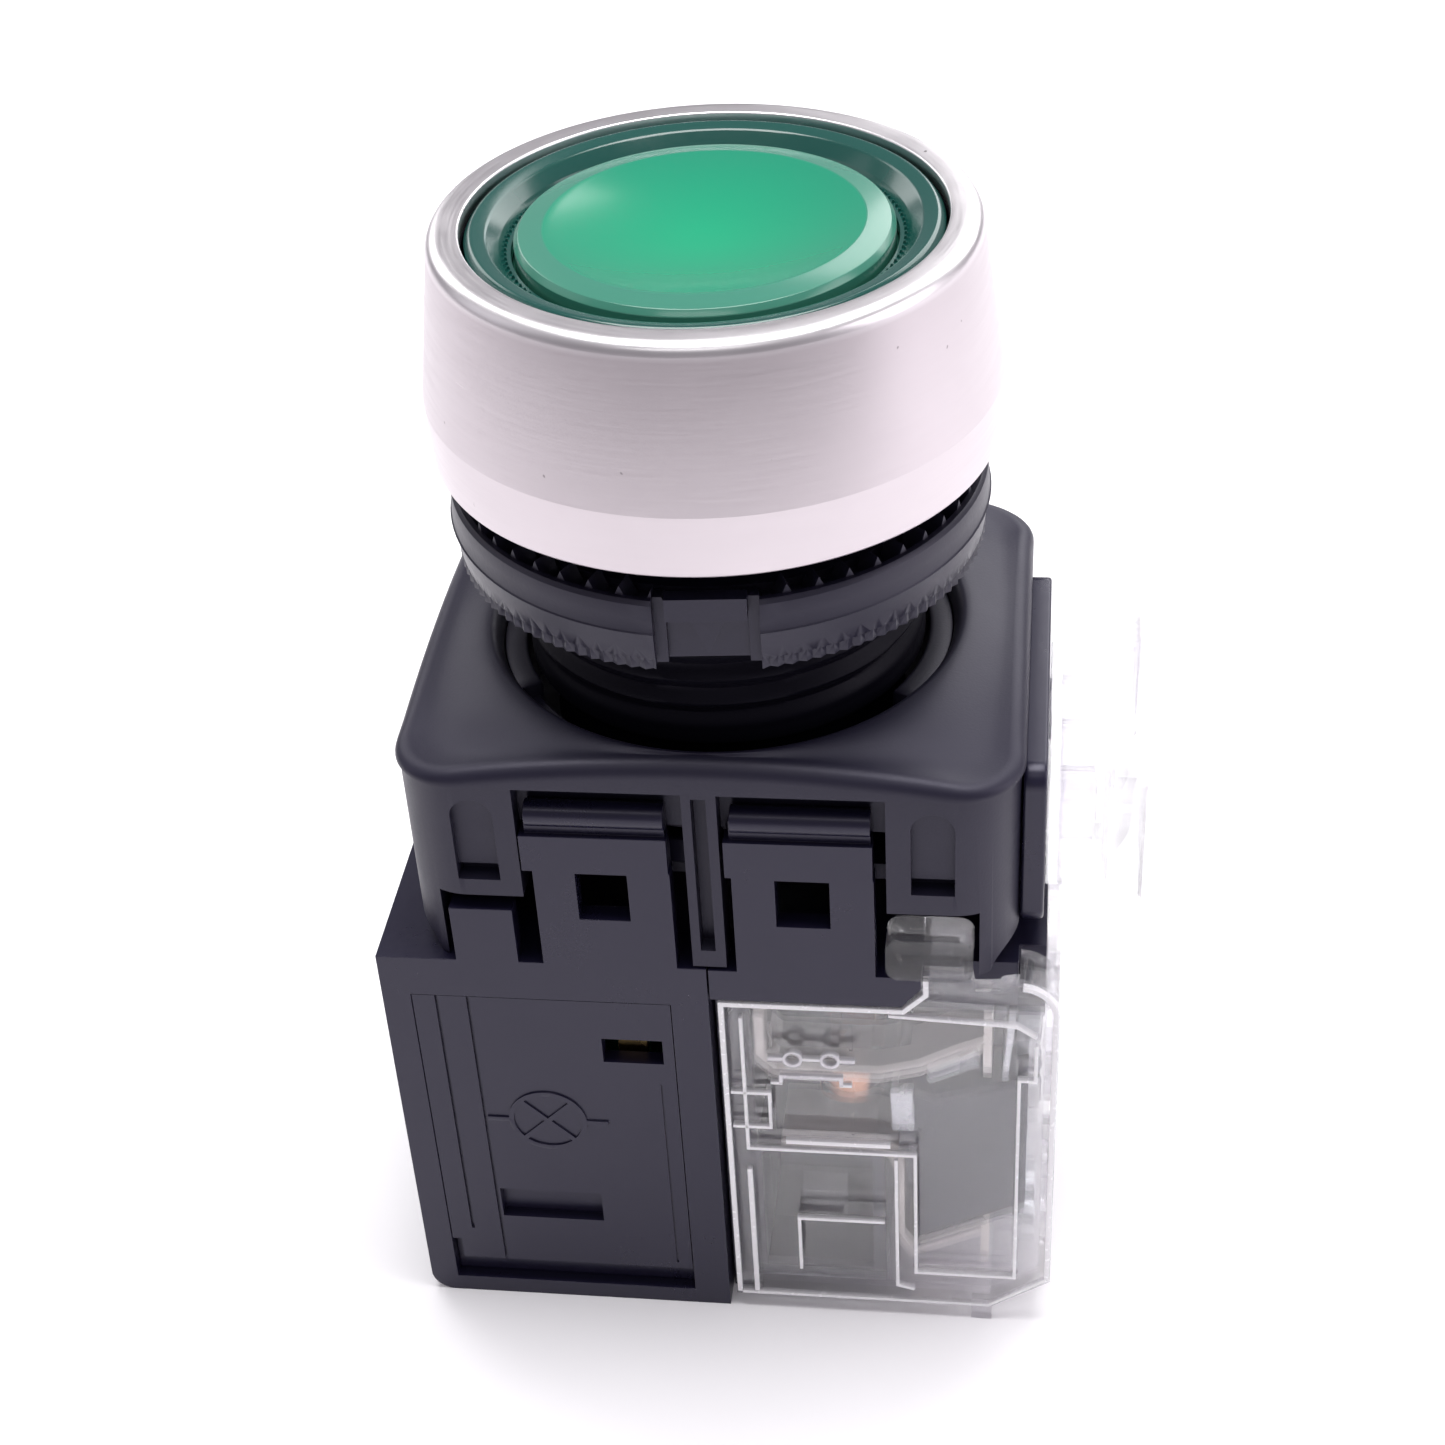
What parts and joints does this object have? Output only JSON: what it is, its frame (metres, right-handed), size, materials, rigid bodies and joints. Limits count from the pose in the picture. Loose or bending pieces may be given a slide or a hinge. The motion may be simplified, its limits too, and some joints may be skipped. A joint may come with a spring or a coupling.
{
  "type": "industrial push button",
  "caption": "Illuminated panel push button: metal bezel, green dished lens, locking ring, square body, lamp supply block and clear-covered contact block.",
  "frame": {"origin": "on the button's axis, at the foot of the two blocks", "axes": "+Z along the button's axis towards the lens, -Y towards the front faces of the blocks, +X towards the lock lever"},
  "size_m": [0.042, 0.0302, 0.0656],
  "materials": {
    "bezel_metal": "satin, fine circular brushing",
    "satin_black": "fine moulded texture",
    "gloss_black": "semi-gloss moulded",
    "lens_green": "polished translucent",
    "ring_green": "polished translucent",
    "clear_plastic": "polished clear",
    "white_plastic": "semi-gloss moulded",
    "led_plastic": "frosted",
    "rubber": "matt",
    "steel": "bright zinc plated",
    "contact_silver": "bright silver plated",
    "brass": "bright",
    "copper": "bright",
    "red_plastic": "moulded",
    "board_green": "lacquered",
    "ceramic": "glazed"
  },
  "bodies": {
    "housing": {"bezel": "bezel_metal", "head_barrel": "satin_black", "panel_gasket": "rubber", "return_spring": "steel", "led_dome": "led_plastic", "led_base": "brass", "lamp_socket": "white_plastic", "lamp_feed_strips": "brass", "body_cap": "satin_black", "body_frame": "satin_black", "side_plate": "gloss_black", "power_block_case": "gloss_black", "power_block_cover": "gloss_black", "supply_board": "board_green", "dropper_resistor": "ceramic", "power_contact_strips": "brass", "power_terminal_screws": "steel", "contact_block_base": "gloss_black", "contact_block_cover": "clear_plastic", "contact_spring": "steel", "upper_fixed_contacts": "contact_silver", "lower_fixed_contacts": "contact_silver", "contact_terminal_screws": "steel"},
    "button": {"lens_ring": "ring_green", "lens": "lens_green", "lens_diffuser": "white_plastic", "button_carrier": "white_plastic", "retaining_clip": "steel"},
    "contact_carriage": {"contact_plunger": "red_plastic", "contact_bridge": "copper"},
    "locking_ring": {"locking_ring": "satin_black"},
    "lock_lever": {"lock_lever": "clear_plastic"},
    "lock_collar": {"lock_collar": "gloss_black"}
  },
  "joints": [
    {"name": "button_press", "type": "slide", "parent": "housing", "child": "button", "axis": [0, 0, -1], "range_m": [0, 0.003], "stiffness_N_per_m": 500, "springref_m": -0.004, "deforming": ["return_spring"]},
    {"name": "contact_press", "type": "slide", "parent": "housing", "child": "contact_carriage", "axis": [0, 0, -1], "range_m": [0, 0.003], "deforming": ["contact_spring"]},
    {"name": "ring_turn", "type": "hinge", "parent": "housing", "child": "locking_ring", "pos_m": [0, 0, 0.0498], "axis": [0, 0, 1], "continuous": true},
    {"name": "lock_slide", "type": "slide", "parent": "housing", "child": "lock_lever", "axis": [0, 1, 0], "range_m": [0, 0.0035]},
    {"name": "lock_turn", "type": "hinge", "parent": "housing", "child": "lock_collar", "pos_m": [0, 0, 0.0338], "axis": [0, 0, 1], "range_deg": [0, 14.85]}
  ],
  "couplings": [
    {"joint": "contact_press", "follows": "button_press", "ratio": 1},
    {"joint": "lock_turn", "follows": "lock_slide", "rad_per_m": 74.05}
  ]
}
